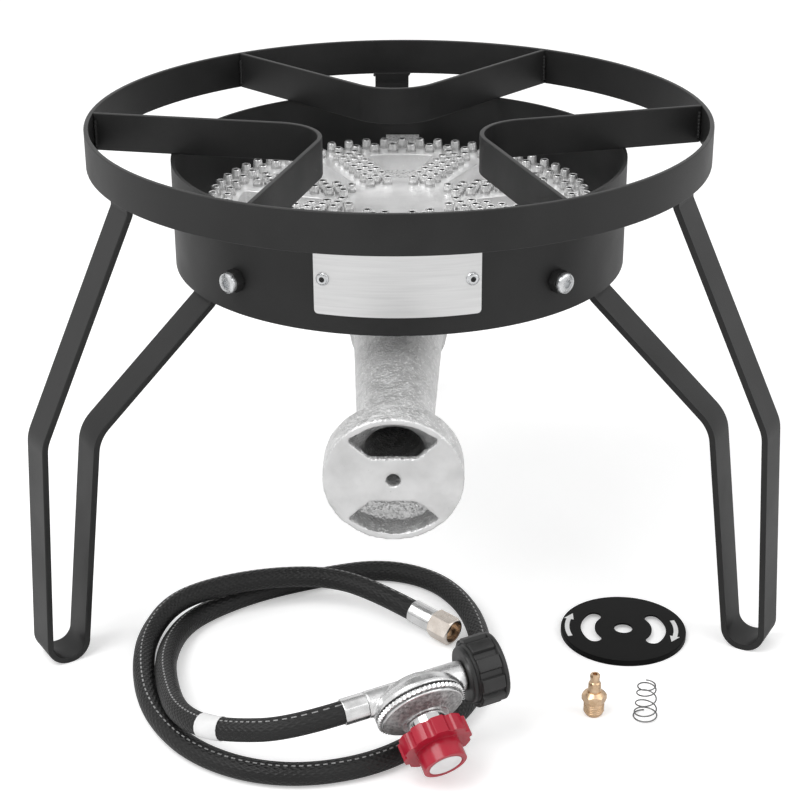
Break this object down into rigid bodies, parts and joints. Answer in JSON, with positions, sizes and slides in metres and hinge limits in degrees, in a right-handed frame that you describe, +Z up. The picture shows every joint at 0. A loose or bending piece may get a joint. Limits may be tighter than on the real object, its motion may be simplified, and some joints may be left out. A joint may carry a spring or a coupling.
{
  "type": "gas stove",
  "caption": "Low free-standing outdoor gas stove: bar stand with pot ring, wind screen and cast jet burner, with its hose, regulator, air shutter and orifice laid in front.",
  "frame": {"origin": "on the floor, on the vertical axis of the pot ring, wind screen and burner", "axes": "+Z up; -Y towards the front, where the mixer tube points and the kit lies; +X to the right"},
  "size_m": [0.487, 0.5741, 0.324],
  "materials": {
    "black_coat": "satin powder coat",
    "plate_aluminium": "satin",
    "zinc": "bright zinc",
    "cast_silver": "rough casting, silver heat paint",
    "gasket": "matte",
    "shutter_black": "satin",
    "brass": "machined",
    "spring_steel": "bright wire",
    "die_cast": "die cast",
    "diaphragm_rubber": "matte",
    "collar_chrome": "polished",
    "knob_red": "gloss",
    "label_white": "matte",
    "nut_black": "matte",
    "ferrule_steel": "plated",
    "hose_rubber": "matte"
  },
  "bodies": {
    "stove": {"burner_bolts": "zinc", "burner_head": "cast_silver", "collar": "collar_chrome", "diaphragm": "diaphragm_rubber", "diaphragm_plate": "spring_steel", "ferrule_flare": "ferrule_steel", "ferrule_regulator": "ferrule_steel", "flare_tail": "brass", "hose": "hose_rubber", "hose_band": "label_white", "inlet_nipple": "brass", "jet_plate": "cast_silver", "leg_back": "black_coat", "leg_left": "black_coat", "leg_right": "black_coat", "mixer_bolts": "zinc", "mixer_gasket": "gasket", "mixer_tube": "cast_silver", "nameplate": "plate_aluminium", "nameplate_rivets": "zinc", "nipple_seal": "diaphragm_rubber", "orifice_fitting": "brass", "pot_ring": "black_coat", "regulator_body": "die_cast", "regulator_bonnet": "die_cast", "regulator_spring": "spring_steel", "shutter_spring": "spring_steel", "trivet_back": "black_coat", "trivet_left": "black_coat", "trivet_right": "black_coat", "valve_pin": "brass", "weld_nuts": "black_coat", "windscreen": "black_coat"},
    "screw_thrust": {"spring_cup": "spring_steel"},
    "knob": {"knob": "knob_red", "knob_label": "label_white", "adjusting_screw": "spring_steel"},
    "coupling_nut": {"coupling_nut": "nut_black"},
    "flare_nut": {"flare_nut": "ferrule_steel"},
    "air_shutter": {"air_shutter": "shutter_black"}
  },
  "joints": [
    {"name": "screw_travel", "type": "slide", "parent": "stove", "child": "screw_thrust", "axis": [-0.3785, 0.7802, 0.4981], "range_m": [0, 0.003]},
    {"name": "knob_turn", "type": "hinge", "parent": "screw_thrust", "child": "knob", "pos_m": [0.0111, -0.2518, 0.0456], "axis": [-0.3785, 0.7802, 0.4981], "range_deg": [0, 720]},
    {"name": "coupling_nut_spin", "type": "hinge", "parent": "stove", "child": "coupling_nut", "pos_m": [0.0111, -0.2518, 0.0456], "axis": [0.917, 0.3892, 0.0872], "continuous": true},
    {"name": "flare_nut_spin", "type": "hinge", "parent": "stove", "child": "flare_nut", "pos_m": [0.01, -0.1068, 0.014], "axis": [0.7716, -0.6284, -0.0994], "continuous": true},
    {"name": "air_shutter_turn", "type": "hinge", "parent": "stove", "child": "air_shutter", "pos_m": [0.1493, -0.1107, 0], "axis": [0, 0, -1], "range_deg": [0, 90]}
  ],
  "couplings": [
    {"joint": "knob_turn", "follows": "screw_travel", "rad_per_m": 4188.8}
  ]
}
